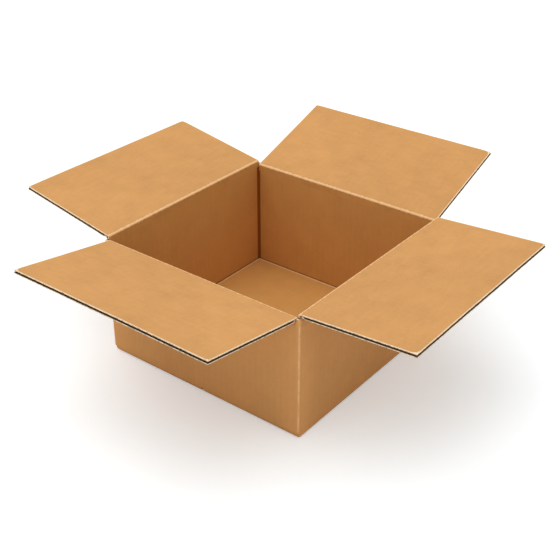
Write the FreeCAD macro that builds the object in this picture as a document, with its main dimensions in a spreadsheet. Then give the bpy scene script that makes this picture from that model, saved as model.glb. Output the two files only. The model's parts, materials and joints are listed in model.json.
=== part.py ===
"""An open corrugated carton: four walls and a glued bottom folded from one sheet, and four lid flaps on their folds.

The frame has its origin on the floor at the middle of the box. +X runs right along the front wall, +Y goes to
the back wall and +Z is up. Sizes are in millimetres and angles in degrees.
"""
import FreeCAD, Part
import math
import os
import Sketcher

doc = FreeCAD.newDocument("open_carton")

# Driving sizes, each in a cell of its own
SIZES = [
    ("inside_length", 254.0, "between the left and right walls"),
    ("inside_width", 254.0, "between the front and back walls"),
    ("inside_depth", 130.0, "from the inner floor to the underside of the closed inner flaps"),
    ("board", 4.0, "thickness of the corrugated board"),
    ("liner", 0.45, "paper on each face of the board"),
    ("medium", 0.4, "wavy paper between the liners"),
    ("flute_pitch", 7.9, "from one wave of the medium to the next"),
    ("flute_crest", 1.3, "width over which a wave lies against a liner"),
    ("flute_foot", 1.0, "width of a flute at its narrow side"),
    ("flute_stop", 9.0, "from the fold line to where the open flutes begin"),
    ("fold_groove", 1.6, "radius of the pinched groove inside each upright fold"),
    ("fold_round", 2.5, "outer radius of the upright folds and of the bottom ones"),
    ("slot_width", 6.0, "cut between neighbouring flaps, centred on the corner"),
    ("fold_gap", 0.3, "from a wall's top edge to the rounded root of its flap"),
    ("lid_gap", 0.3, "from the closed inner flaps to the outer ones above them"),
    ("crush_run", 6.0, "reach of the crushed bevel on each side of a fold line"),
    ("meeting_gap", 4.0, "between the free edges of two closed flaps"),
    ("bottom_seam", 2.0, "between the free edges of two bottom flaps"),
    ("tab_width", 32.0, "glued joining tab, from the corner"),
    ("tab_inset", 8.0, "from the tab's ends to the wall's top and the inner floor"),
    ("tab_taper", 6.0, "by which the tab is shorter at its free edge, at each end"),
    ("front_rise_angle", 9.0, "of the front flap above the level"),
    ("right_rise_angle", 4.0, "of the right flap above the level"),
    ("back_rise_angle", 19.0, "of the back flap above the level"),
    ("left_rise_angle", 10.0, "of the left flap above the level"),
]

# Sizes that follow from them
DERIVED = [
    ("half_board", "board / 2"),
    ("half_length", "inside_length / 2"),
    ("half_width", "inside_width / 2"),
    ("outer_x", "half_length + board"),
    ("outer_y", "half_width + board"),
    ("inner_floor", "2 * board"),
    ("side_clearance", "(slot_width - board) / 2"),
    ("front_span", "inside_length - 2 * side_clearance"),
    ("side_span", "2 * outer_y - slot_width"),
    ("round_x", "outer_x - fold_round"),
    ("round_y", "outer_y - fold_round"),
    ("wall_foot", "board + fold_round"),
    ("half_seam", "bottom_seam / 2"),
    ("low_fold", "inner_floor + inside_depth + half_board"),
    ("high_fold", "low_fold + board + lid_gap"),
    ("low_top", "low_fold - half_board - fold_gap"),
    ("high_top", "high_fold - half_board - fold_gap"),
    ("wall_height", "high_top - wall_foot"),
    ("front_axis", "half_width + half_board"),
    ("side_axis", "half_length + half_board"),
    ("bevel_step", "(half_board + fold_gap) * half_board / crush_run"),
    ("front_bevel", "front_axis + bevel_step"),
    ("side_bevel", "side_axis + bevel_step"),
    ("low_bevel", "low_fold - crush_run"),
    ("high_bevel", "high_fold - crush_run"),
    ("cut_x", "outer_x + board"),
    ("cut_y", "outer_y + board"),
    ("cut_across", "2 * cut_y"),
    ("cut_low", "low_top + board"),
    ("cut_high", "high_top + board"),
    ("tab_face", "half_length - board"),
    ("tab_end", "tab_width - half_width"),
    ("tab_low", "inner_floor + tab_inset"),
    ("tab_low_end", "tab_low + tab_taper"),
    ("tab_high", "low_top - tab_inset"),
    ("tab_high_end", "tab_high - tab_taper"),
    ("crush_reach", "sqrt(crush_run ^ 2 + half_board ^ 2)"),
    ("root_y", "half_board * crush_run / crush_reach"),
    ("root_z", "half_board ^ 2 / crush_reach"),
    ("front_depth", "half_width + half_board - meeting_gap / 2"),
    ("side_depth", "half_length + half_board - meeting_gap / 2"),
    ("liner_level", "half_board - liner"),
    ("foot_level", "liner_level - medium"),
    ("half_foot", "flute_foot / 2"),
]
for pair in ("front", "side"):
    DERIVED += [
        (f"{pair}_flute_run", f"{pair}_depth - flute_stop"),
        (f"{pair}_flutes", f"round({pair}_span / flute_pitch)"),
        (f"{pair}_pitch", f"{pair}_span / {pair}_flutes"),
        (f"{pair}_half_flute", f"({pair}_pitch - flute_crest) / 2"),
        (f"{pair}_next_start", f"{pair}_pitch / 2 - {pair}_half_flute"),
        (f"{pair}_next_end", f"{pair}_pitch / 2 + {pair}_half_flute"),
        (f"{pair}_next_foot_start", f"{pair}_pitch / 2 - half_foot"),
        (f"{pair}_next_foot_end", f"{pair}_pitch / 2 + half_foot"),
    ]

sheet = doc.addObject("Spreadsheet::Sheet", "Sizes")
row = 0
for alias, value, meaning in SIZES:
    row += 1
    sheet.set(f"A{row}", alias)
    sheet.set(f"B{row}", str(value))
    sheet.set(f"C{row}", meaning)
    sheet.setAlias(f"B{row}", alias)
for alias, formula in DERIVED:
    row += 1
    sheet.set(f"A{row}", alias)
    sheet.set(f"B{row}", "=" + formula)
    sheet.setAlias(f"B{row}", alias)
doc.recompute()


def value_of(name):
    """The number behind a coordinate: a cell's name, with a minus sign where it is mirrored, or 0."""
    if name == "0":
        return 0.0
    if name.startswith("-"):
        return -float(getattr(sheet, name[1:]))
    return float(getattr(sheet, name))


def bound(name):
    """The same coordinate as an expression on the sheet."""
    if name.startswith("-"):
        return "-Sizes." + name[1:]
    return "Sizes." + name


def new_body(name):
    """An empty body that carries its node's name."""
    body = doc.addObject("PartDesign::Body", name)
    body.Label = name
    return body


def new_sketch(body, name, plane, offset=None):
    """A sketch on one of the body's own planes, moved along the plane's normal."""
    sketch = body.newObject("Sketcher::SketchObject", name)
    for feature in body.Origin.OriginFeatures:
        if feature.Role == plane:
            sketch.AttachmentSupport = [(feature, "")]
    sketch.MapMode = "FlatFace"
    if offset is not None:
        sketch.setExpression("AttachmentOffset.Base.z", bound(offset))
    return sketch


def hold(sketch, geometry, point, x_name=None, y_name=None):
    """Holds a point of the sketch at named distances from the sketch's origin."""
    for name, kind, axis in ((x_name, "DistanceX", -2), (y_name, "DistanceY", -1)):
        if name is None:
            continue
        if name == "0":
            sketch.addConstraint(Sketcher.Constraint("PointOnObject", geometry, point, axis))
        else:
            constraint = Sketcher.Constraint(kind, -1, 1, geometry, point, value_of(name))
            number = sketch.addConstraint(constraint)
            sketch.setExpression(f"Constraints[{number}]", bound(name))


def outline(sketch, corners, arcs=None):
    """A closed outline through named corners, counter-clockwise; arcs maps a side to its centre's names."""
    arcs = arcs or {}
    points = [FreeCAD.Vector(value_of(x), value_of(y), 0) for x, y in corners]
    sides = []
    for i, start in enumerate(points):
        end = points[(i + 1) % len(points)]
        if i in arcs:
            centre = FreeCAD.Vector(value_of(arcs[i][0]), value_of(arcs[i][1]), 0)
            first = math.atan2(start.y - centre.y, start.x - centre.x)
            last = math.atan2(end.y - centre.y, end.x - centre.x)
            if last < first:
                last += 2 * math.pi
            circle = Part.Circle(centre, FreeCAD.Vector(0, 0, 1), (start - centre).Length)
            sides.append(sketch.addGeometry(Part.ArcOfCircle(circle, first, last)))
        else:
            sides.append(sketch.addGeometry(Part.LineSegment(start, end)))
    for i, side in enumerate(sides):
        following = sides[(i + 1) % len(sides)]
        sketch.addConstraint(Sketcher.Constraint("Coincident", side, 2, following, 1))
    for i, (x, y) in enumerate(corners):
        hold(sketch, sides[i], 1, x, y)
    for i, centre in arcs.items():
        # The ends hold the arc already, so its centre needs one distance more
        if centre[1] == "0":
            hold(sketch, sides[i], 3, None, centre[1])
        else:
            hold(sketch, sides[i], 3, centre[0], None)


def round_holes(sketch, radius, centres):
    """Circles of one named radius about named centres."""
    for x, y in centres:
        centre = FreeCAD.Vector(value_of(x), value_of(y), 0)
        circle = sketch.addGeometry(Part.Circle(centre, FreeCAD.Vector(0, 0, 1), value_of(radius)))
        hold(sketch, circle, 3, x, y)
        number = sketch.addConstraint(Sketcher.Constraint("Radius", circle, value_of(radius)))
        sketch.setExpression(f"Constraints[{number}]", bound(radius))


def pad(body, name, sketch, length, symmetric=False):
    """Adds the sketch's outlines to the body over a named length."""
    feature = body.newObject("PartDesign::Pad", name)
    feature.Profile = sketch
    feature.SideType = "Symmetric" if symmetric else "One side"
    feature.setExpression("Length", bound(length))
    return feature


def pocket(body, name, sketch, length, symmetric=False, reverse=False):
    """Cuts the sketch's outlines out of the body over a named length, and checks that something was cut."""
    before = body.Tip.Shape.Volume
    feature = body.newObject("PartDesign::Pocket", name)
    feature.Profile = sketch
    feature.SideType = "Symmetric" if symmetric else "One side"
    feature.Reversed = reverse
    feature.setExpression("Length", bound(length))
    doc.recompute()
    if not feature.Shape.Volume < before:
        raise RuntimeError(f"{name} cuts nothing")
    return feature


# The carton's body: walls, glued bottom and joining tab, folded from one sheet
carton = new_body("carton_body")

walls = new_sketch(carton, "wall_ring", "XY_Plane", offset="wall_foot")
outline(
    walls,
    [
        ("-round_x", "-outer_y"),
        ("round_x", "-outer_y"),
        ("outer_x", "-round_y"),
        ("outer_x", "round_y"),
        ("round_x", "outer_y"),
        ("-round_x", "outer_y"),
        ("-outer_x", "round_y"),
        ("-outer_x", "-round_y"),
    ],
    arcs={
        1: ("round_x", "-round_y"),
        3: ("round_x", "round_y"),
        5: ("-round_x", "round_y"),
        7: ("-round_x", "-round_y"),
    },
)
outline(
    walls,
    [
        ("-half_length", "-half_width"),
        ("half_length", "-half_width"),
        ("half_length", "half_width"),
        ("-half_length", "half_width"),
    ],
)
pad(carton, "walls", walls, "wall_height")
doc.recompute()

# Inside each upright fold the board is pinched into a groove
grooves = new_sketch(carton, "fold_groove_outline", "XY_Plane", offset="wall_foot")
inner_corners = [
    ("half_length", "half_width"),
    ("-half_length", "half_width"),
    ("-half_length", "-half_width"),
    ("half_length", "-half_width"),
]
round_holes(grooves, "fold_groove", inner_corners)
doc.recompute()
pocket(carton, "fold_grooves", grooves, "wall_height", reverse=True)

# The front and back bottom flaps lie inside, one board above the floor
inner_bottom = new_sketch(carton, "inner_bottom_section", "YZ_Plane")
outline(
    inner_bottom,
    [
        ("half_seam", "board"),
        ("round_y", "board"),
        ("outer_y", "wall_foot"),
        ("outer_y", "inner_floor"),
        ("half_seam", "inner_floor"),
    ],
    arcs={1: ("round_y", "wall_foot")},
)
outline(
    inner_bottom,
    [
        ("-half_seam", "inner_floor"),
        ("-outer_y", "inner_floor"),
        ("-outer_y", "wall_foot"),
        ("-round_y", "board"),
        ("-half_seam", "board"),
    ],
    arcs={2: ("-round_y", "wall_foot")},
)
pad(carton, "inner_bottom_flaps", inner_bottom, "front_span", symmetric=True)
doc.recompute()

# The right and left bottom flaps lie outside, on the floor
outer_bottom = new_sketch(carton, "outer_bottom_section", "XZ_Plane")
outline(
    outer_bottom,
    [
        ("half_seam", "0"),
        ("round_x", "0"),
        ("outer_x", "fold_round"),
        ("outer_x", "inner_floor"),
        ("half_length", "inner_floor"),
        ("half_length", "board"),
        ("half_seam", "board"),
    ],
    arcs={1: ("round_x", "fold_round")},
)
outline(
    outer_bottom,
    [
        ("-half_seam", "board"),
        ("-half_length", "board"),
        ("-half_length", "inner_floor"),
        ("-outer_x", "inner_floor"),
        ("-outer_x", "fold_round"),
        ("-round_x", "0"),
        ("-half_seam", "0"),
    ],
    arcs={4: ("-round_x", "fold_round")},
)
pad(carton, "outer_bottom_flaps", outer_bottom, "side_span", symmetric=True)
doc.recompute()

# The tab joins the sheet's two ends at the front right corner, glued to the inside of the right wall
tab = new_sketch(carton, "joining_tab_outline", "YZ_Plane", offset="tab_face")
outline(
    tab,
    [
        ("-half_width", "tab_low"),
        ("tab_end", "tab_low_end"),
        ("tab_end", "tab_high_end"),
        ("-half_width", "tab_high"),
    ],
)
pad(carton, "joining_tab", tab, "board")
doc.recompute()

# The front and back walls end one board lower, so that their flaps close under the other two
low_walls = new_sketch(carton, "low_wall_cut", "XZ_Plane")
outline(
    low_walls,
    [
        ("-half_length", "low_top"),
        ("half_length", "low_top"),
        ("half_length", "cut_high"),
        ("-half_length", "cut_high"),
    ],
)
doc.recompute()
pocket(carton, "low_wall_tops", low_walls, "cut_across", symmetric=True)

# Each wall's outer top edge is crushed along the fold, which lets its flap hang below the level
front_crush = new_sketch(carton, "front_crush_section", "YZ_Plane")
for sign in ("", "-"):
    corners = [
        (sign + "front_bevel", "low_top"),
        (sign + "outer_y", "low_bevel"),
        (sign + "cut_y", "low_bevel"),
        (sign + "cut_y", "cut_low"),
        (sign + "front_bevel", "cut_low"),
    ]
    outline(front_crush, corners if sign == "" else corners[::-1])
doc.recompute()
pocket(carton, "front_crush", front_crush, "inside_length", symmetric=True)

side_crush = new_sketch(carton, "side_crush_section", "XZ_Plane")
for sign in ("", "-"):
    corners = [
        (sign + "side_bevel", "high_top"),
        (sign + "outer_x", "high_bevel"),
        (sign + "cut_x", "high_bevel"),
        (sign + "cut_x", "cut_high"),
        (sign + "side_bevel", "cut_high"),
    ]
    outline(side_crush, corners if sign == "" else corners[::-1])
doc.recompute()
pocket(carton, "side_crush", side_crush, "cut_across", symmetric=True)


# The four lid flaps, each built about its own fold line and then turned and moved to it
def flap(name, pair, place, turn, rise, height):
    """A lid flap with a rounded root on its fold line and open flutes at its free edge."""
    body = new_body(name)
    section = new_sketch(body, name + "_section", "YZ_Plane")
    outline(
        section,
        [
            ("root_y", "-root_z"),
            ("crush_run", "-half_board"),
            (pair + "_depth", "-half_board"),
            (pair + "_depth", "half_board"),
            ("0", "half_board"),
        ],
        arcs={4: ("0", "0")},
    )
    pad(body, name + "_board", section, pair + "_span", symmetric=True)
    doc.recompute()

    # One pair of flutes stands at the side edge, so that the edge itself shows an open one
    flutes = new_sketch(body, name + "_flutes", "XZ_Plane")
    flutes.setExpression("AttachmentOffset.Base.x", f"-Sizes.{pair}_span / 2")
    flutes.setExpression("AttachmentOffset.Base.z", f"-Sizes.{pair}_depth")
    outline(
        flutes,
        [
            ("-half_foot", "-foot_level"),
            ("half_foot", "-foot_level"),
            (pair + "_half_flute", "liner_level"),
            (f"-{pair}_half_flute", "liner_level"),
        ],
    )
    outline(
        flutes,
        [
            (pair + "_next_start", "-liner_level"),
            (pair + "_next_end", "-liner_level"),
            (pair + "_next_foot_end", "foot_level"),
            (pair + "_next_foot_start", "foot_level"),
        ],
    )
    doc.recompute()
    first = pocket(body, name + "_first_flutes", flutes, pair + "_flute_run", reverse=True)

    rows = body.newObject("PartDesign::LinearPattern", name + "_all_flutes")
    rows.Originals = [first]
    rows.Direction = (section, ["N_Axis"])
    rows.Mode = "Extent"
    rows.setExpression("Length", f"Sizes.{pair}_span")
    rows.setExpression("Occurrences", f"Sizes.{pair}_flutes + 1")
    body.Tip = rows
    spot = f"vector({place[0]}; {place[1]}; Sizes.{height})"
    body.setExpression("Placement", f"placement({spot}; rotationz({turn}) * rotationx(Sizes.{rise}))")
    doc.recompute()
    return body


bodies = [
    carton,
    flap("front_flap", "front", ("0", "-Sizes.front_axis"), 180, "front_rise_angle", "low_fold"),
    flap("right_flap", "side", ("Sizes.side_axis", "0"), -90, "right_rise_angle", "high_fold"),
    flap("back_flap", "front", ("0", "Sizes.front_axis"), 0, "back_rise_angle", "low_fold"),
    flap("left_flap", "side", ("-Sizes.side_axis", "0"), 90, "left_rise_angle", "high_fold"),
]

# Every feature has to be sound before the parts are written
doc.recompute()
for item in doc.Objects:
    if "Invalid" in item.State or "Error" in item.State:
        raise RuntimeError(f"{item.Label} did not compute")
os.makedirs("parts", exist_ok=True)
for body in bodies:
    shape = body.Shape
    if shape.isNull() or not shape.isValid() or len(shape.Solids) != 1:
        raise RuntimeError(f"{body.Label} is not one sound solid")
    shape.exportStep(f"parts/{body.Label}.step")
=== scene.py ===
# %% [markdown]
# # An open cardboard box
#
# The object is a shallow, square carton of single-wall corrugated board. Its walls and its glued
# bottom are one folded sheet, and four lid flaps turn on their folds. The solids come from the
# imported frame, where every length is in metres. Blender adds what a solid can't show: the board's
# paper faces with the wavy sheet between them, the worn folds, and the look of brown kraft paper.
# Some light and shade is painted into the colours: highlights on folds and cut edges, and shade in
# the flutes, the inner folds and where the floor meets the walls.

# %% Load the frame
import math
import json
import bpy
from mathutils import Matrix, Vector


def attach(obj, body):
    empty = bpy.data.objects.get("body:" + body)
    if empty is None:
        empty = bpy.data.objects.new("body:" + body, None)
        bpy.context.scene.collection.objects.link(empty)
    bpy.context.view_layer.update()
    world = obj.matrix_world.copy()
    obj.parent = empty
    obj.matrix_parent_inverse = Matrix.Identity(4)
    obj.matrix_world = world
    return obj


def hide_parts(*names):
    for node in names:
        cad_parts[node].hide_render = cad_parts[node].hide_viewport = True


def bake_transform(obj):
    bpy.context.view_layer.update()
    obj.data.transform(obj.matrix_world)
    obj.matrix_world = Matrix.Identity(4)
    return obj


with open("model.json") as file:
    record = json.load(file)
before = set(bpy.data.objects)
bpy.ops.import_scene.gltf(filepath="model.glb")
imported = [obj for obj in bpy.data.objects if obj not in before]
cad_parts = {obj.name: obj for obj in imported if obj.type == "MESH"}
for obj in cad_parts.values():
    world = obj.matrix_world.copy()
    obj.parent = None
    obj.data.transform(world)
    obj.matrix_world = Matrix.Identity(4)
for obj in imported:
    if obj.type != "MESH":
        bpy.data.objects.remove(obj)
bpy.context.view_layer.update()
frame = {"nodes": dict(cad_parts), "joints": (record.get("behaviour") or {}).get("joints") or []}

# %% Sizes of the board
MM = 0.001
BOARD = 4.0 * MM
HALF = BOARD / 2
LINER = 0.90 * MM
FLUTE_PITCH = 7.9 * MM

# From the middle to the walls' inner faces, and up to the inner floor
INSIDE = 127.0 * MM
FLOOR_TOP = 2 * BOARD

# The crushed bevel at a fold line, the groove inside an upright fold, and where its outer ridge starts
CRUSH = 6.0 * MM
GROOVE = 1.6 * MM
ROUND_IN = 1.9 * MM
print("board", BOARD, "m, with a flute every", FLUTE_PITCH, "m")

# %% [markdown]
# ## Camera
#
# The view is from above the near corner. The eye's place, the direction and the focal length were
# worked out from the box's edges in the picture, so that the part's own edges fall on them. Depth
# of field stays off and the lens has no shift, so that other views of the part come out straight as
# well.

# %% Camera
EYE = Vector((0.6035, -0.7705, 0.6521))
YAW, PITCH = math.radians(-37.96), math.radians(30.24)
FOCAL_SHARE = 1009.4 / 555

camera_data = bpy.data.cameras.new("camera")
camera_data.sensor_width = 36
camera_data.lens = FOCAL_SHARE * camera_data.sensor_width
camera = bpy.data.objects.new("camera", camera_data)
bpy.context.scene.collection.objects.link(camera)
gaze = Vector((math.sin(YAW) * math.cos(PITCH), math.cos(YAW) * math.cos(PITCH), -math.sin(PITCH)))
camera.location = EYE
camera.rotation_mode = "QUATERNION"
camera.rotation_quaternion = gaze.to_track_quat("-Z", "Y")
bpy.context.scene.camera = camera
print("camera looks along", tuple(round(c, 3) for c in gaze))

# %% [markdown]
# ## Helpers for node trees
#
# Materials and Geometry Nodes are both graphs of small steps. This short class adds a node, fills
# its inputs with values or links, and hands back an output, so that each tree below reads from top
# to bottom like a recipe.


# %% A small class that writes node trees
class Recipe:
    """Adds nodes to a tree. An input may be a value or another node's output."""

    def __init__(self, tree):
        self.tree = tree

    def node(self, kind, inputs=None, **settings):
        made = self.tree.nodes.new(kind)
        for name, value in settings.items():
            setattr(made, name, value)
        for key, value in (inputs or {}).items():
            self.fill(made.inputs[key], value)
        return made

    def fill(self, socket, value):
        if isinstance(value, bpy.types.NodeSocket):
            self.tree.links.new(value, socket)
        else:
            socket.default_value = value

    def math(self, operation, a, b=0.0):
        return self.node("ShaderNodeMath", {0: a, 1: b}, operation=operation).outputs[0]

    def product(self, first, *others):
        for other in others:
            first = self.math("MULTIPLY", first, other)
        return first

    def total(self, first, *others):
        for other in others:
            first = self.math("ADD", first, other)
        return first

    def minus(self, a, b):
        return self.math("SUBTRACT", a, b)

    def below(self, value, limit):
        return self.math("LESS_THAN", value, limit)

    def above(self, value, limit):
        return self.math("GREATER_THAN", value, limit)

    def vector(self, x=0.0, y=0.0, z=0.0):
        return self.node("ShaderNodeCombineXYZ", {0: x, 1: y, 2: z}).outputs[0]

    def parts(self, vector):
        return self.node("ShaderNodeSeparateXYZ", {0: vector}).outputs

    def noise(self, vector, scale, detail, roughness=0.5):
        inputs = {"Vector": vector, "Scale": scale, "Detail": detail, "Roughness": roughness}
        return self.node("ShaderNodeTexNoise", inputs).outputs[0]

    def steps(self, value, low, high, to_low=0.0, to_high=1.0):
        inputs = {"Value": value, "From Min": low, "From Max": high}
        inputs.update({"To Min": to_low, "To Max": to_high})
        return self.node("ShaderNodeMapRange", inputs, interpolation_type="SMOOTHSTEP").outputs[0]

    def blend(self, share, a, b, mode="MIX"):
        made = self.node("ShaderNodeMix", data_type="RGBA", blend_type=mode)
        for name, value in (("Factor_Float", share), ("A_Color", a), ("B_Color", b)):
            socket = [s for s in made.inputs if s.identifier == name][0]
            self.fill(socket, value)
        return [s for s in made.outputs if s.identifier == "Result_Color"][0]


# %% New node groups
def new_group(name, kind, inputs, outputs):
    """A node group with named inputs (name, type, value) and outputs (name, type)."""
    group = bpy.data.node_groups.new(name, kind)
    for title, socket_type, value in inputs:
        socket = group.interface.new_socket(title, in_out="INPUT", socket_type=socket_type)
        if value is not None:
            socket.default_value = value
    for title, socket_type in outputs:
        group.interface.new_socket(title, in_out="OUTPUT", socket_type=socket_type)
    return group, Recipe(group), group.nodes.new("NodeGroupInput"), group.nodes.new("NodeGroupOutput")


# %% [markdown]
# ## The face of kraft paper
#
# Kraft liner is pressed from long brown wood fibres. Near to, it shows short pale and dark fibres
# lying mostly one way, with a few dark specks, and from further off soft clouds where the sheet is
# denser. Three noises at those three sizes give a brightness and a height. They sit in one group,
# because every face of the box uses them.

# %% Group: kraft fibres
CLOUD_SCALE, PATCH_SCALE = 38.0, 9.0
STRAND_SCALE, BUNDLE_SCALE, SPECK_SCALE = 950.0, 260.0, 620.0
FIBRE_STRETCH = (0.22, 1.0, 1.0)
SPECK_DARKNESS = 0.14

fibres, make, gin, gout = new_group(
    "kraft_fibres",
    "ShaderNodeTree",
    [
        ("Place", "NodeSocketVector", None),
        ("Clouds", "NodeSocketFloat", 0.10),
        ("Strands", "NodeSocketFloat", 0.16),
    ],
    [("Brightness", "NodeSocketFloat"), ("Height", "NodeSocketFloat")],
)
place = gin.outputs["Place"]
clouds = make.noise(place, CLOUD_SCALE, 4.0, 0.6)
patches = make.noise(place, PATCH_SCALE, 2.0)
stretch = {0: place, 1: FIBRE_STRETCH}
long_way = make.node("ShaderNodeVectorMath", stretch, operation="MULTIPLY").outputs[0]
strands = make.noise(long_way, STRAND_SCALE, 3.0, 0.65)
bundles = make.noise(long_way, BUNDLE_SCALE, 4.0, 0.6)
strand_mean = make.product(make.total(strands, bundles), 0.5)
dark_specks = make.steps(make.noise(place, SPECK_SCALE, 1.0), 0.70, 0.76)
cloud_part = make.product(make.minus(clouds, 0.5), gin.outputs["Clouds"])
patch_part = make.product(make.minus(patches, 0.5), gin.outputs["Clouds"])
strand_part = make.product(make.minus(strand_mean, 0.5), gin.outputs["Strands"])
speck_part = make.product(dark_specks, -SPECK_DARKNESS)
make.fill(gout.inputs["Brightness"], make.total(1.0, cloud_part, patch_part, strand_part, speck_part))
make.fill(gout.inputs["Height"], strand_mean)
print("group", fibres.name)

# %% [markdown]
# ## Flutes seen through the paper
#
# The liner sinks a few hundredths of a millimetre between the crests of the wavy sheet under it, so
# raking light shows faint stripes one flute apart. A sine wave across the flutes gives them, as a
# bump and as faint painted shade in the colour.

# %% Group: washboard
washboard, make, gin, gout = new_group(
    "washboard",
    "ShaderNodeTree",
    [("Across", "NodeSocketFloat", 0.0), ("Pitch", "NodeSocketFloat", FLUTE_PITCH)],
    [("Wave", "NodeSocketFloat")],
)
flutes_passed = make.math("DIVIDE", gin.outputs["Across"], gin.outputs["Pitch"])
make.fill(gout.inputs["Wave"], make.math("SINE", make.product(flutes_passed, 2 * math.pi)))
print("group", washboard.name)

# %% [markdown]
# ## Colours
#
# Light kraft lies outside and on the open flaps. The knife's cut is paler than the face, because
# fresh fibres show there, and a painted highlight lies on the face beside a cut. The folds are pale
# as well, partly worn and partly painted highlight. The wavy sheet inside is painted nearly black,
# as painted shade for the hollows between the flutes, and the inner folds get dark browns of
# painted shade.

# %% Colours of the paper
KRAFT = (0.640, 0.326, 0.115, 1.0)
KRAFT_INSIDE = (0.610, 0.305, 0.088, 1.0)
# Pale: worn folds, and also painted highlight on the folds and on the floor by the walls
WORN_AND_HIGHLIT_KRAFT = (0.900, 0.570, 0.290, 1.0)
# Cut paper, and also the colour of the painted highlight on the face beside a cut
CUT_PAPER_AND_EDGE_HIGHLIGHT = (0.980, 0.790, 0.550, 1.0)
# Painted shade: the flutes are nearly black, for the hollows between them
SHADED_FLUTE_PAPER = (0.085, 0.040, 0.014, 1.0)
# Painted shade, in the inner upright folds and where the floor meets the walls
PAINTED_SHADE_KRAFT = (0.215, 0.070, 0.010, 1.0)
# Painted shade in the groove of an inner upright fold
GROOVE_SHADE_KRAFT = (0.420, 0.120, 0.014, 1.0)

print("kraft", KRAFT[:3], "and inside", KRAFT_INSIDE[:3])


# %% Helpers for the materials
FIBRE_RELIEF = 0.05 * MM
FLUTE_RELIEF = 0.02 * MM


def new_material(name):
    """An empty material, with its recipe and its Principled shader joined to the output."""
    material = bpy.data.materials.new(name)
    material.use_nodes = True
    material.node_tree.nodes.clear()
    recipe = Recipe(material.node_tree)
    shader = recipe.node("ShaderNodeBsdfPrincipled", {"Roughness": 0.86, "IOR": 1.42})
    shader.inputs["Specular IOR Level"].default_value = 0.28
    recipe.node("ShaderNodeOutputMaterial", {"Surface": shader.outputs[0]})
    return material, recipe, shader


def place_group(recipe, group, **inputs):
    """A node group placed in a material."""
    made = recipe.node("ShaderNodeGroup", node_tree=group)
    for name, value in inputs.items():
        recipe.fill(made.inputs[name], value)
    return made


def times(recipe, colour, brightness):
    """A colour made lighter or darker by a value that changes over the surface."""
    grey = recipe.node("ShaderNodeCombineColor", {0: brightness, 1: brightness, 2: brightness})
    return recipe.blend(1.0, colour, grey.outputs[0], "MULTIPLY")


def with_painted_flute_shade(recipe, colour, wave, strength):
    """A colour with faint stripes of painted shade, where the flutes under it would catch the light.
    """
    return times(recipe, colour, recipe.total(recipe.product(wave, strength), 1.0))


def relief(recipe, shader, height, wave):
    """The bump of the fibres and of the flutes, on a shader's normal."""
    lifted = recipe.total(recipe.product(height, FIBRE_RELIEF), recipe.product(wave, FLUTE_RELIEF))
    bump = recipe.node("ShaderNodeBump", {"Height": lifted, "Strength": 0.8, "Distance": 1.0})
    recipe.fill(shader.inputs["Normal"], bump.outputs[0])


# %% [markdown]
# ## Finish of the walls and the bottom
#
# One material covers the folded body, so it finds out from the point's place which face it is on.
# Inside, the paper is a little browner. Within two millimetres of an upright inner fold, and where
# the floor meets the walls, painted shade makes the board dark, with a painted highlight on the floor
# beside it. Along an outer fold the ridge is worn pale and painted as a highlight, with painted light
# on the wall beside it. The cut ends at the four slots and under the bottom show liner, flutes,
# liner, with the flutes painted dark as shade.

# %% Body: which face a point is on
SLACK = 0.1 * MM

body_kraft, make, shader = new_material("kraft_body")
place = make.node("ShaderNodeTexCoord").outputs["Object"]
x, y, z = make.parts(place)
facing = make.parts(make.node("ShaderNodeNewGeometry").outputs["Normal"])
side_on = make.math("ABSOLUTE", facing[0])
upright = make.below(make.math("ABSOLUTE", facing[2]), 0.5)
far_x, far_y = make.math("ABSOLUTE", x), make.math("ABSOLUTE", y)
reach = make.math("MAXIMUM", far_x, far_y)
inside = make.product(make.below(reach, INSIDE + SLACK), make.above(z, FLOOR_TOP - SLACK))
outside = make.minus(1.0, inside)

print("inside is within", INSIDE, "m of the middle and above", FLOOR_TOP, "m")

# %% Body: fibres and flutes
# Fibres run round the box, whichever way a wall faces
round_box = make.vector(make.total(x, y), z, make.minus(x, y))
paper = place_group(make, fibres, Place=round_box, Clouds=0.16, Strands=0.20)

# Flutes stand upright in the walls, and run from front to back in the floor that shows
across_x = make.product(x, make.minus(1.0, side_on))
across_y = make.product(y, side_on)
waves = place_group(make, washboard, Across=make.total(across_x, across_y))

print("groups placed:", paper.node_tree.name, waves.node_tree.name)

# %% Body: the upright folds
# Painted shade in the inner groove; outside, a worn ridge with a painted highlight and painted light
# beside it
FOLD_SHADE_WIDTH = 1.9 * MM
PAINTED_LIGHT_REACH = 34.0 * MM

past_x, past_y = make.minus(far_x, INSIDE), make.minus(far_y, INSIDE)
corner = make.math("SQRT", make.total(make.product(past_x, past_x), make.product(past_y, past_y)))
# Painted shade in the groove of an inner upright fold, and a dark band beside it
groove_shade = make.product(make.below(corner, GROOVE + 1.5 * SLACK), make.above(z, FLOOR_TOP - HALF))
inner_fold_shade = make.product(make.steps(corner, GROOVE + HALF / 4, GROOVE + FOLD_SHADE_WIDTH, 0.9, 0.0), inside)
ridge = make.minus(make.math("MINIMUM", past_x, past_y), ROUND_IN)
near_edge = make.product(make.steps(ridge, SLACK, 1.2 * MM), outside)
# Painted light on the outer walls, fading out over 34 mm from an outer upright fold
painted_light_by_fold = make.product(make.steps(ridge, -PAINTED_LIGHT_REACH, -HALF), outside)
rub_noise = make.noise(place, 120.0, 4.0, 0.7)
# The ridge of an outer fold: worn pale in patches, and a painted highlight all along
worn_and_highlit = make.product(near_edge, make.steps(rub_noise, 0.30, 0.62, 0.15, 0.65))

print("pinched for", FOLD_SHADE_WIDTH, "m beside a fold")

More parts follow.
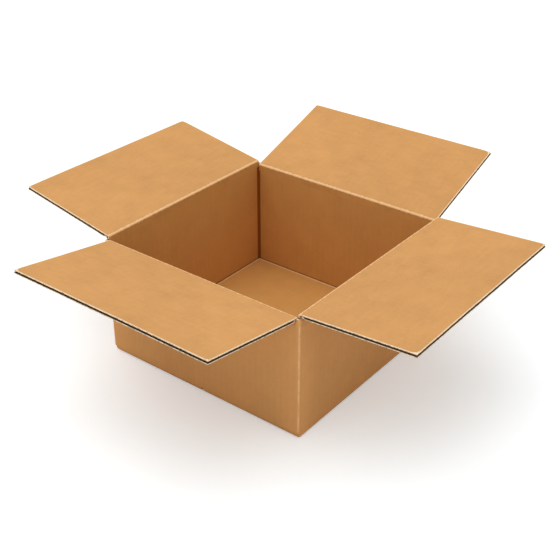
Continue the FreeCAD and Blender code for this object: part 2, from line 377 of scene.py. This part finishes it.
# %% Body: the floor's edges and the cut ends
# Where the floor's flaps end, or turn up, at the walls: a dark line of painted shade, and a pale
# line of painted highlight beside it
from_wall = make.minus(INSIDE, reach)
on_floor = make.product(make.below(z, FLOOR_TOP + 3 * SLACK), inside, make.above(facing[2], 0.5))
floor_gap_shade = make.product(make.steps(from_wall, 0.9 * MM, 1.5 * MM, 0.85, 0.0), on_floor)
floor_highlight = make.product(make.steps(from_wall, 2.4 * MM, 3.4 * MM, 0.75, 0.0), on_floor)
# Painted shade on the inner walls just above the floor
shade_above_floor = make.steps(z, FLOOR_TOP + 0.4 * MM, FLOOR_TOP + 1.6 * MM, 0.6, 0.0)
floor_gap_shade = make.math("MAXIMUM", floor_gap_shade, make.product(shade_above_floor, inside, upright))

# Upward edges at the slots: a pale liner line, the flutes painted dark as shade, and the other liner
SLOT_LEVEL = 130.0 * MM
level_edge = make.product(make.above(facing[2], 0.9), make.above(z, SLOT_LEVEL))
from_middle = make.math("ABSOLUTE", make.minus(reach, INSIDE + HALF))
core = make.product(level_edge, make.below(from_middle, HALF - 1.2 * LINER))

# Ends of the bottom flaps, seen from the sides as a line under each wall, with their flutes
# painted dark as shade
low_end = make.product(make.below(z, FLOOR_TOP), make.below(reach, INSIDE), upright)
in_board = make.math("ABSOLUTE", make.minus(make.math("FRACT", make.math("DIVIDE", z, BOARD)), 0.5))
low_core = make.product(low_end, make.below(in_board, 0.36))
print("slots start above", SLOT_LEVEL, "m")

# %% Body: the colour, layer on layer
base = make.blend(inside, KRAFT, KRAFT_INSIDE)
base = times(make, base, paper.outputs["Brightness"])
# Faint stripes of painted shade over the flutes
base = with_painted_flute_shade(make, base, waves.outputs["Wave"], 0.008)
# The ridge of an outer fold: worn pale in patches, with a painted highlight
base = make.blend(worn_and_highlit, base, WORN_AND_HIGHLIT_KRAFT)
# Painted light on the outer walls beside an outer upright fold
base = times(make, base, make.total(make.product(painted_light_by_fold, 0.09), 1.0))
# Painted shade beside the inner upright folds
base = make.blend(inner_fold_shade, base, PAINTED_SHADE_KRAFT)
# Painted shade in the groove of an inner fold
base = make.blend(groove_shade, base, GROOVE_SHADE_KRAFT)
# Painted highlight on the floor beside the walls
base = make.blend(floor_highlight, base, WORN_AND_HIGHLIT_KRAFT)
# Painted shade where the floor meets the walls
base = make.blend(floor_gap_shade, base, PAINTED_SHADE_KRAFT)
base = make.blend(level_edge, base, CUT_PAPER_AND_EDGE_HIGHLIGHT)
# The flutes at the slots and under the bottom, painted dark as shade
base = make.blend(make.math("MAXIMUM", make.product(core, 0.8), low_core), base, SHADED_FLUTE_PAPER)
make.fill(shader.inputs["Base Color"], base)
relief(make, shader, paper.outputs["Height"], waves.outputs["Wave"])
frame["nodes"]["carton_body"].data.materials.clear()
frame["nodes"]["carton_body"].data.materials.append(body_kraft)
print("material", body_kraft.name)

# %% [markdown]
# ## Finish of the lid flaps
#
# A flap is turned on its fold, so its pattern can't follow the box's own axes. Every vertex carries
# its place on the flat board as an attribute: across the flutes, away from the fold, and up through
# the board. The fibres and the flute stripes of painted shade follow that. The fold is pale along a
# ragged band, partly worn and partly painted highlight, and a painted highlight lies beside a cut.

# %% Material: liner of the flaps and their creases
FOLD_LINE = 0.3 * MM
RAGGED = 6.0 * MM
HIGHLIGHT_RIM = 0.5 * MM

flap_kraft, make, shader = new_material("kraft_flap")
on_board = make.node("ShaderNodeAttribute", attribute_name="on_board").outputs["Vector"]
along, away = make.parts(on_board)[:2]
paper = place_group(make, fibres, Place=on_board, Clouds=0.24, Strands=0.34)
waves = place_group(make, washboard, Across=along)
on_wall = make.below(away, 0.0)
base = times(make, make.blend(on_wall, KRAFT, KRAFT_INSIDE), paper.outputs["Brightness"])
# Faint stripes of painted shade over the flutes
base = with_painted_flute_shade(make, base, waves.outputs["Wave"], 0.006)
fold_shade = make.steps(away, 1.0 * MM, 7.0 * MM, 0.96, 1.0)
base = times(make, base, make.math("MAXIMUM", fold_shade, on_wall))

# The pale band along the fold, with a ragged edge: partly worn paper, partly painted highlight
from_fold = make.math("ABSOLUTE", make.minus(away, FOLD_LINE))
unevenness = make.minus(make.noise(make.vector(along), 210.0, 4.0, 0.7), 0.5)
from_fold = make.total(from_fold, make.product(unevenness, -RAGGED))
base = make.blend(make.steps(from_fold, 1.1 * MM, 2.0 * MM, 0.95, 0.0), base, WORN_AND_HIGHLIT_KRAFT)

# The face is pale within a millimetre of a cut: partly worn paper, partly painted highlight
from_cut = make.node("ShaderNodeAttribute", attribute_name="from_cut").outputs["Fac"]
base = make.blend(make.steps(from_cut, HIGHLIGHT_RIM, 2 * HIGHLIGHT_RIM, 0.9, 0.0), base, CUT_PAPER_AND_EDGE_HIGHLIGHT)
make.fill(shader.inputs["Base Color"], base)
relief(make, shader, paper.outputs["Height"], waves.outputs["Wave"])

print("material", flap_kraft.name)

# %% Materials: the cut edge and the flutes
cut_kraft, make, shader = new_material("kraft_cut_edge")
on_board = make.node("ShaderNodeAttribute", attribute_name="on_board").outputs["Vector"]
paper = place_group(make, fibres, Place=on_board, Clouds=0.2, Strands=0.5)
torn = make.steps(make.noise(on_board, 420.0, 2.0), 0.38, 0.56, 0.55, 1.0)
base = times(make, times(make, CUT_PAPER_AND_EDGE_HIGHLIGHT, paper.outputs["Brightness"]), torn)
make.fill(shader.inputs["Base Color"], base)

# The wavy sheet is painted nearly black, as shade for the hollows between the flutes
shaded_flute_kraft, make, shader = new_material("kraft_flutes_painted_shade")
on_board = make.node("ShaderNodeAttribute", attribute_name="on_board").outputs["Vector"]
paper = place_group(make, fibres, Place=on_board, Clouds=0.2, Strands=0.3)
make.fill(shader.inputs["Base Color"], times(make, SHADED_FLUTE_PAPER, paper.outputs["Brightness"]))
print("materials", cut_kraft.name, shaded_flute_kraft.name)

# %% [markdown]
# ## Where each flap lies
#
# Every joint of the frame gives a fold line: a point on it and its direction. The joint's upper
# limit is the angle at which the flap lies closed, so half a turn less that limit is how far it now
# stands above the level.


# %% Fold lines
class Fold:
    """A flap's own axes: along its fold, away from it, and up through the board."""

    def __init__(self, joint):
        self.flap = joint["child"]
        self.at = Vector(joint["pos_m"])
        self.along = Vector(joint["axis"]).normalized()
        self.level = Vector((0, 0, 1)).cross(self.along)
        rise = math.pi - math.radians(joint["range_deg"][1])
        self.rise = rise
        self.out = math.cos(rise) * self.level + math.sin(rise) * Vector((0, 0, 1))
        self.up = self.along.cross(self.out)
        corners = [v.co - self.at for v in frame["nodes"][self.flap].data.vertices]
        self.span = 2 * max(c.dot(self.along) for c in corners)
        self.depth = max(c.dot(self.out) for c in corners)
        self.is_inner = abs(self.along.x) > 0.5

    def matrix(self):
        """Turns a place on the flat board into its place in the frame."""
        turned = Matrix((self.along, self.out, self.up)).transposed().to_4x4()
        return Matrix.Translation(self.at) @ turned


folds = [Fold(joint) for joint in frame["joints"]]
for fold in folds:
    sizes = f"span {fold.span:.4f} depth {fold.depth:.4f} rise {math.degrees(fold.rise):.1f}"
    print(fold.flap, sizes)

# %% [markdown]
# ## The wavy sheet
#
# Between the liners runs one sheet of paper in waves. One wave is repeated along the fold, which is
# work for Geometry Nodes: a line of points one flute apart, a single wave of paper on each point,
# and a merge that joins the waves into one sheet. The wave is a flat grid lifted by a sine and
# given a thickness.

# %% Geometry Nodes: one wave, repeated
WELD = 0.02 * MM
WAVE_POINTS = 13

wave_tree, make, gin, gout = new_group(
    "fluting",
    "GeometryNodeTree",
    [
        ("Span", "NodeSocketFloat", 0.25),
        ("Depth", "NodeSocketFloat", 0.12),
        ("Flutes", "NodeSocketInt", 32),
        ("Height", "NodeSocketFloat", 0.003),
        ("Thickness", "NodeSocketFloat", 0.0004),
        ("Paper", "NodeSocketMaterial", None),
    ],
    [("Geometry", "NodeSocketGeometry")],
)
span, thickness = gin.outputs["Span"], gin.outputs["Thickness"]
pitch = make.math("DIVIDE", span, gin.outputs["Flutes"])
flat = {"Size X": pitch, "Size Y": gin.outputs["Depth"], "Vertices X": WAVE_POINTS, "Vertices Y": 2}
grid = make.node("GeometryNodeMeshGrid", flat)
spot = make.parts(make.node("GeometryNodeInputPosition").outputs[0])
phase = make.product(make.math("DIVIDE", spot[0], pitch), 2 * math.pi)
swing = make.product(make.minus(gin.outputs["Height"], thickness), 0.5)
lift = make.vector(z=make.product(make.math("COSINE", phase), swing))
waved = make.node("GeometryNodeSetPosition", {"Geometry": grid.outputs["Mesh"], "Offset": lift})
first = make.vector(x=make.product(make.minus(pitch, span), 0.5))
places = {"Count": gin.outputs["Flutes"], "Start Location": first, "Offset": make.vector(x=pitch)}
row = make.node("GeometryNodeMeshLine", places, mode="OFFSET")
copies = {"Points": row.outputs[0], "Instance": waved.outputs[0]}
copied = make.node("GeometryNodeInstanceOnPoints", copies)
real = make.node("GeometryNodeRealizeInstances", {"Geometry": copied.outputs[0]})
waves_in_row = {"Geometry": real.outputs[0], "Distance": WELD}
sheet = make.node("GeometryNodeMergeByDistance", waves_in_row).outputs[0]
upward = {"Mesh": sheet, "Offset Scale": thickness, "Individual": False}
raised = make.node("GeometryNodeExtrudeMesh", upward)
under = make.node("GeometryNodeFlipFaces", {"Mesh": sheet})
both = make.node("GeometryNodeJoinGeometry")
make.fill(both.inputs[0], raised.outputs[0])
make.fill(both.inputs[0], under.outputs[0])
closed = make.node("GeometryNodeMergeByDistance", {"Geometry": both.outputs[0], "Distance": WELD})
sink = make.vector(z=make.product(thickness, -0.5))
centred = make.node("GeometryNodeSetPosition", {"Geometry": closed.outputs[0], "Offset": sink})
again = make.node("GeometryNodeRealizeInstances", {"Geometry": centred.outputs[0]})
paint = {"Geometry": again.outputs[0], "Material": gin.outputs["Paper"]}
make.fill(gout.inputs["Geometry"], make.node("GeometryNodeSetMaterial", paint).outputs[0])
print("tree", wave_tree.name)


# %% From a tree to a plain mesh
def plain_mesh(tree, values):
    """Runs a Geometry Nodes tree with these named values, and returns the result as a plain mesh."""
    holder = bpy.data.objects.new("holder", bpy.data.meshes.new("holder"))
    bpy.context.scene.collection.objects.link(holder)
    modifier = holder.modifiers.new("nodes", "NODES")
    modifier.node_group = tree
    for item in tree.interface.items_tree:
        if item.item_type == "SOCKET" and item.in_out == "INPUT" and item.name in values:
            modifier[item.identifier] = values[item.name]
    bpy.context.view_layer.update()
    seen = holder.evaluated_get(bpy.context.evaluated_depsgraph_get())
    mesh = bpy.data.meshes.new_from_object(seen)
    holder.modifiers.remove(modifier)
    bpy.data.objects.remove(holder)
    return mesh


# %% [markdown]
# ## The two paper faces
#
# Each liner is drawn 0.9 mm thick, as wide as the pale line it leaves along a cut. The upper one
# runs round the flap's rounded root, and the lower one rises to the root where the crease is
# crushed. Both are the same long section carried along the fold, so a small function writes the
# mesh. Real board is never flat: a slow bow of half a millimetre and a knife line that wanders by a
# tenth are moved into every layer alike. The front and back flaps close inside the other two, so
# each pair bows away from the other, and the closed lid stays clear.

# %% The bow and the uneven cut
BOW = 0.6 * MM
CUT_WANDER = 0.12 * MM
print("bow", BOW, "m, cut wanders", CUT_WANDER, "m")


def wander(x, seed):
    """A slow, repeatable unevenness between -1 and 1."""
    waves = ((0.5, 61.0, 1.0), (0.3, 173.0, 2.1), (0.2, 947.0, 3.7))
    return sum(share * math.sin(x * turns + seed * shift) for share, turns, shift in waves)


def settle(place, fold, seed):
    """A place on the flat board, after its flap's bow and its uneven cut."""
    x, y, z = place
    out = max(0.0, y / fold.depth)
    swell = 0.5 + 0.3 * math.sin(x * 9.0 + seed) + 0.2 * math.cos(x * 21.0 + seed)
    lift = (BOW if fold.is_inner else -BOW) * out * out * swell
    edge = max(0.0, (out - 0.97) / 0.03)
    return Vector((x, y + CUT_WANDER * edge * (wander(x, seed) - 1), z + lift))


# %% A section carried along the fold
def carried(name, section, span, columns):
    """A closed solid: a section of (away, up) places, counter-clockwise, carried along the fold."""
    count = len(section)
    places, faces = [], []
    for i in range(columns + 1):
        x = -span / 2 + span * i / columns
        places += [(x, y, z) for y, z in section]
    for i in range(columns):
        for j in range(count):
            k = (j + 1) % count
            a, b = i * count, (i + 1) * count
            faces.append((a + j, a + k, b + k, b + j))
    faces.append(tuple(reversed(range(count))))
    faces.append(tuple(columns * count + j for j in range(count)))
    mesh = bpy.data.meshes.new(name)
    mesh.from_pydata(places, [], faces)
    return mesh


# %% Sections of the two liners
ROOT = math.hypot(CRUSH, HALF)
print("the crushed bevel reaches", round(ROOT, 5), "m from the fold line")


def upper_section(depth):
    """The upper liner: along the top to the root, round it, and back along its inner side."""
    runs = [depth * (1 - i / 20) for i in range(20)]
    outer = [(y, HALF) for y in runs]
    arc = [math.radians(90 + 180 * i / 10) for i in range(11)]
    outer += [(HALF * math.cos(a), HALF * math.sin(a)) for a in arc]
    thin = HALF - LINER
    inner = [(thin * math.cos(a), thin * math.sin(a)) for a in reversed(arc)]
    inner += [(y, thin) for y in reversed(runs)]
    return outer + inner


def lower_section(depth):
    """The lower liner: from the root down the crushed bevel, and out to the free edge."""
    start = (HALF * CRUSH / ROOT, -HALF * HALF / ROOT)
    runs = [CRUSH + (depth - CRUSH) * i / 18 for i in range(19)]
    outer = [start] + [(y, -HALF) for y in runs]
    inner = [(y, LINER - HALF) for y in reversed(runs)] + [(start[0], start[1] + LINER)]
    return outer + inner


# %% Places kept as attributes, and layers joined
def carry_places(mesh, fold):
    """Keeps each vertex's place on the flat board and its distance from the cut as attributes."""
    mesh.attributes.new("on_board", "FLOAT_VECTOR", "POINT")
    mesh.attributes.new("from_cut", "FLOAT", "POINT")
    places, cuts = mesh.attributes["on_board"].data, mesh.attributes["from_cut"].data
    for i, vertex in enumerate(mesh.vertices):
        places[i].vector = vertex.co
        cuts[i].value = min(fold.span / 2 - abs(vertex.co.x), fold.depth - vertex.co.y)


def joined(name, meshes):
    """One object from several meshes, with their materials kept."""
    objects = []
    for mesh in meshes:
        made = bpy.data.objects.new(name, mesh)
        bpy.context.scene.collection.objects.link(made)
        objects.append(made)
    bpy.ops.object.select_all(action="DESELECT")
    for made in objects:
        made.select_set(True)
    bpy.context.view_layer.objects.active = objects[0]
    bpy.ops.object.join()
    objects[0].name = name
    return objects[0]


# %% [markdown]
# ## Put each flap together
#
# The layers are made on the flat board, take their places into the attribute, are bowed, and are
# then turned to the fold. Faces that look along the fold or out of the free edge are the knife's
# cut and get the pale paper.

# %% Four flaps
COLUMNS = 96
MEDIUM = 0.7 * MM
MEDIUM_START = 5.0 * MM
MEDIUM_RECESS = 0.25 * MM
SEED_START, SEED_STEP = 0.6, 1.7

for number, fold in enumerate(folds):
    seed = SEED_STEP * number + SEED_START
    layers = []
    for title, section in (("upper", upper_section(fold.depth)), ("lower", lower_section(fold.depth))):
        mesh = carried(f"{fold.flap}_{title}", section, fold.span, COLUMNS)
        for paper in (flap_kraft, cut_kraft, shaded_flute_kraft):
            mesh.materials.append(paper)
        for face in mesh.polygons:
            across, outward = abs(face.normal.x) > 0.9, face.normal.y > 0.9
            at_end = across or (outward and face.center.y > fold.depth * 0.99)
            # Faces inside the board, between the liners, take the flutes' painted shade
            in_flutes = abs(face.center.z) < HALF - 0.8 * LINER and face.center.y > CRUSH
            face.material_index = 1 if at_end else (2 if in_flutes else 0)
        layers.append(mesh)
    flutes = round(fold.span / FLUTE_PITCH)
    sheet_depth = fold.depth - MEDIUM_START - MEDIUM_RECESS
    values = {
        "Span": fold.span,
        "Depth": sheet_depth,
        "Flutes": flutes,
        "Height": BOARD - 2 * LINER,
        "Thickness": MEDIUM,
        "Paper": shaded_flute_kraft,
    }
    waves_mesh = plain_mesh(wave_tree, values)
    waves_mesh.materials.append(cut_kraft)
    for face in waves_mesh.polygons:
        if face.normal.y > 0.9:
            face.material_index = 1
    for vertex in waves_mesh.vertices:
        vertex.co.y += MEDIUM_START + sheet_depth / 2
    layers.append(waves_mesh)
    for mesh in layers:
        carry_places(mesh, fold)
        for vertex in mesh.vertices:
            vertex.co = settle(vertex.co, fold, seed)
        mesh.transform(fold.matrix())
        mesh.update()
    flap = joined(f"{fold.flap}_board", layers)
    flap.data.polygons.foreach_set("use_smooth", [False] * len(flap.data.polygons))
    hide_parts(fold.flap)
    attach(flap, fold.flap)
    print(flap.name, len(flap.data.polygons), "faces,", flutes, "flutes")

# %% [markdown]
# ## The creases
#
# The board isn't cut at a fold: its paper runs on from the wall to the flap. Two thin skins show
# that, one on the inner side, which lies stretched over the fold while the flap is open, and one on
# the outer side, crushed into the notch. Each is a strip from the wall to the flap, bent round the
# fold in the flap's present pose.

# %% A thin strip of paper
SKIN_BODY, SKIN_EDGE = 0.1 * MM, 0.01 * MM
SKIN_TAPER = 2.0 * MM
print("skins are", SKIN_BODY, "m thick, and thin out over", SKIN_TAPER, "m")


def strip(name, line, span, columns):
    """A thin closed strip: a line of (out, up) places round a fold, thickened and carried along it."""
    lengths = [0.0]
    for (a, b), (c, d) in zip(line, line[1:]):
        lengths.append(lengths[-1] + math.hypot(c - a, d - b))
    top = []
    for i, (out, up) in enumerate(line):
        before, after = line[max(0, i - 1)], line[min(len(line) - 1, i + 1)]
        dx, dy = after[0] - before[0], after[1] - before[1]
        size = math.hypot(dx, dy)
        taper = min(1.0, lengths[i] / SKIN_TAPER, (lengths[-1] - lengths[i]) / SKIN_TAPER)
        thick = SKIN_BODY * taper + SKIN_EDGE
        top.append((out - dy / size * thick, up + dx / size * thick))
    return carried(name, list(line) + top[::-1], span, columns), lengths


# %% Lines of the two skins about a fold
PROUD = HALF + 0.12 * MM
LIFTED = HALF + 0.03 * MM
INNER_REACH = [1.5 * MM, 3.0 * MM, 5.0 * MM, 7.0 * MM]
BEVEL_REACH = [3.0 * MM, 4.5 * MM, 6.35 * MM]
OUTER_REACH = [7.0 * MM, 9.0 * MM, 12.0 * MM]
print("inner skin reaches", INNER_REACH[-1], "m and the outer one", OUTER_REACH[-1], "m")


def polar(radius, degrees):
    """A place about the fold, at an angle from the level."""
    return (radius * math.cos(math.radians(degrees)), radius * math.sin(math.radians(degrees)))


def around(radius, start, end, count):
    """Places on an arc about the fold, in degrees from the level."""
    return [polar(radius, start + (end - start) * i / count) for i in range(count + 1)]


def on_flap(away, height, rise):
    """A place on the flap's own axes, in the level's axes."""
    out = away * math.cos(rise) - height * math.sin(rise)
    return (out, away * math.sin(rise) + height * math.cos(rise))


def inner_line(rise):
    """From the flap's upper face, round the root, and down the inside of the wall."""
    line = [(-LIFTED, -down) for down in reversed(INNER_REACH)]
    line += around(PROUD, 180, 90 + math.degrees(rise), 16)
    line += [on_flap(away, LIFTED, rise) for away in INNER_REACH]
    return line[::-1]


def outer_line(rise):
    """From the wall's outer face up its bevel, round the root, and out under the flap."""
    bevel = math.degrees(math.atan2(HALF, CRUSH))
    line = [(LIFTED, -down) for down in reversed(OUTER_REACH)]
    line += [polar(away, bevel - 89) for away in reversed(BEVEL_REACH)]
    line += around(PROUD, bevel - 90, math.degrees(rise) - bevel, 20)
    for away in BEVEL_REACH:
        out, down = polar(away, bevel + 1)
        line.append(on_flap(out, -down, rise))
    return line + [on_flap(away, -LIFTED, rise) for away in OUTER_REACH]


# %% Four creases, bent round their folds
SKIN_COLUMNS = 48
# Moves the outer strip past the pale band of wear and painted highlight
PAST_PALE_BAND = 20.0 * MM


def mark_places(mesh, line, lengths, fold, is_inner):
    """Keeps how far along the strip each vertex lies. The pale band, worn and painted highlight, falls
    on the inner strip.
    """
    mesh.attributes.new("on_board", "FLOAT_VECTOR", "POINT")
    mesh.attributes.new("from_cut", "FLOAT", "POINT")
    places, cuts = mesh.attributes["on_board"].data, mesh.attributes["from_cut"].data
    count = 2 * len(line)
    middle = lengths[len(line) // 2]
    for i, vertex in enumerate(mesh.vertices):
        j = min(i % count, count - 1 - i % count)
        away = middle - lengths[j] if is_inner else lengths[j] - middle + PAST_PALE_BAND
        places[i].vector = (vertex.co.x, away, HALF)
        cuts[i].value = fold.span / 2 - abs(vertex.co.x) if is_inner and away > 0 else BOARD


for fold in folds:
    level_axes = Matrix((fold.along, fold.level, Vector((0, 0, 1)))).transposed().to_4x4()
    strips = []
    for title, line in (("inner", inner_line(fold.rise)), ("outer", outer_line(fold.rise))):
        mesh, lengths = strip(f"{fold.flap}_{title}", line, fold.span, SKIN_COLUMNS)
        mesh.materials.append(flap_kraft)
        mark_places(mesh, line, lengths, fold, title == "inner")
        mesh.transform(Matrix.Translation(fold.at) @ level_axes)
        strips.append(mesh)
    crease = joined(f"{fold.flap}_crease", strips)
    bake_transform(crease)
    print(crease.name, len(crease.data.polygons), "faces")

# %% [markdown]
# ## Floor, light and background
#
# The box stands on a plain pale floor that runs into a white background. The world gives the same
# soft light from every side, and one large lamp above gives the tops their brightness and the
# inside its depth. The camera sees white where the world is and far off on the floor, but both
# light the box at a plain level.

# %% Floor
FLOOR_HALF = 40.0
FLOOR_DROP = 0.2 * MM
FLOOR_LIFT = 0.345
COOL, WHITE = (0.75, 0.92, 1.0, 1.0), (1.0, 1.0, 1.0, 1.0)
NEAR, FAR = 0.45, 1.3

floor_mesh = bpy.data.meshes.new("floor")
corners = [(x * FLOOR_HALF, y * FLOOR_HALF, 0) for x, y in ((-1, -1), (1, -1), (1, 1), (-1, 1))]
floor_mesh.from_pydata(corners, [], [(0, 1, 2, 3)])
floor = bpy.data.objects.new("floor", floor_mesh)
bpy.context.scene.collection.objects.link(floor)
floor.location.z = -FLOOR_DROP
pale, make, shader = new_material("pale_floor")
shader.inputs["Base Color"].default_value = (0.92, 0.92, 0.92, 1.0)
shader.inputs["Roughness"].default_value = 0.9
looked_at = make.node("ShaderNodeLightPath").outputs["Is Camera Ray"]
place = make.node("ShaderNodeTexCoord").outputs["Object"]
from_box = make.node("ShaderNodeVectorMath", {0: place}, operation="LENGTH").outputs["Value"]
strength = make.product(looked_at, make.steps(from_box, NEAR, FAR, FLOOR_LIFT, 1.0))
make.fill(shader.inputs["Emission Strength"], strength)
make.fill(shader.inputs["Emission Color"], make.blend(make.steps(from_box, NEAR, FAR), COOL, WHITE))
floor_mesh.materials.append(pale)
print("floor", floor.name)

# %% World
world = bpy.data.worlds.new("studio")
bpy.context.scene.world = world
world.use_nodes = True
world.node_tree.nodes.clear()
make = Recipe(world.node_tree)
ray = make.node("ShaderNodeLightPath").outputs
seen = make.math("MAXIMUM", ray["Is Glossy Ray"], ray["Is Transmission Ray"])
seen = make.math("MAXIMUM", ray["Is Camera Ray"], seen)
white = make.node("ShaderNodeBackground", {"Color": WHITE, "Strength": 1.0})
soft = make.node("ShaderNodeBackground", {"Color": (1.0, 0.99, 0.97, 1.0), "Strength": 0.60})
mixed = make.node("ShaderNodeMixShader", {0: seen, 1: soft.outputs[0], 2: white.outputs[0]})
make.node("ShaderNodeOutputWorld", {"Surface": mixed.outputs[0]})
print("world", world.name)

# %% Lamps
def lamp(name, place, size, power, target=(0.0, 0.0, 0.08)):
    """A square area lamp that faces the box."""
    data = bpy.data.lights.new(name, "AREA")
    data.size = size
    data.energy = power
    made = bpy.data.objects.new(name, data)
    bpy.context.scene.collection.objects.link(made)
    made.location = place
    made.rotation_mode = "QUATERNION"
    made.rotation_quaternion = (Vector(target) - Vector(place)).to_track_quat("-Z", "Y")
    return made


overhead = lamp("overhead", (-0.4, -0.35, 2.7), 3.2, 47.0)
bpy.context.scene.view_settings.view_transform = "Standard"
print("lamp", overhead.name)
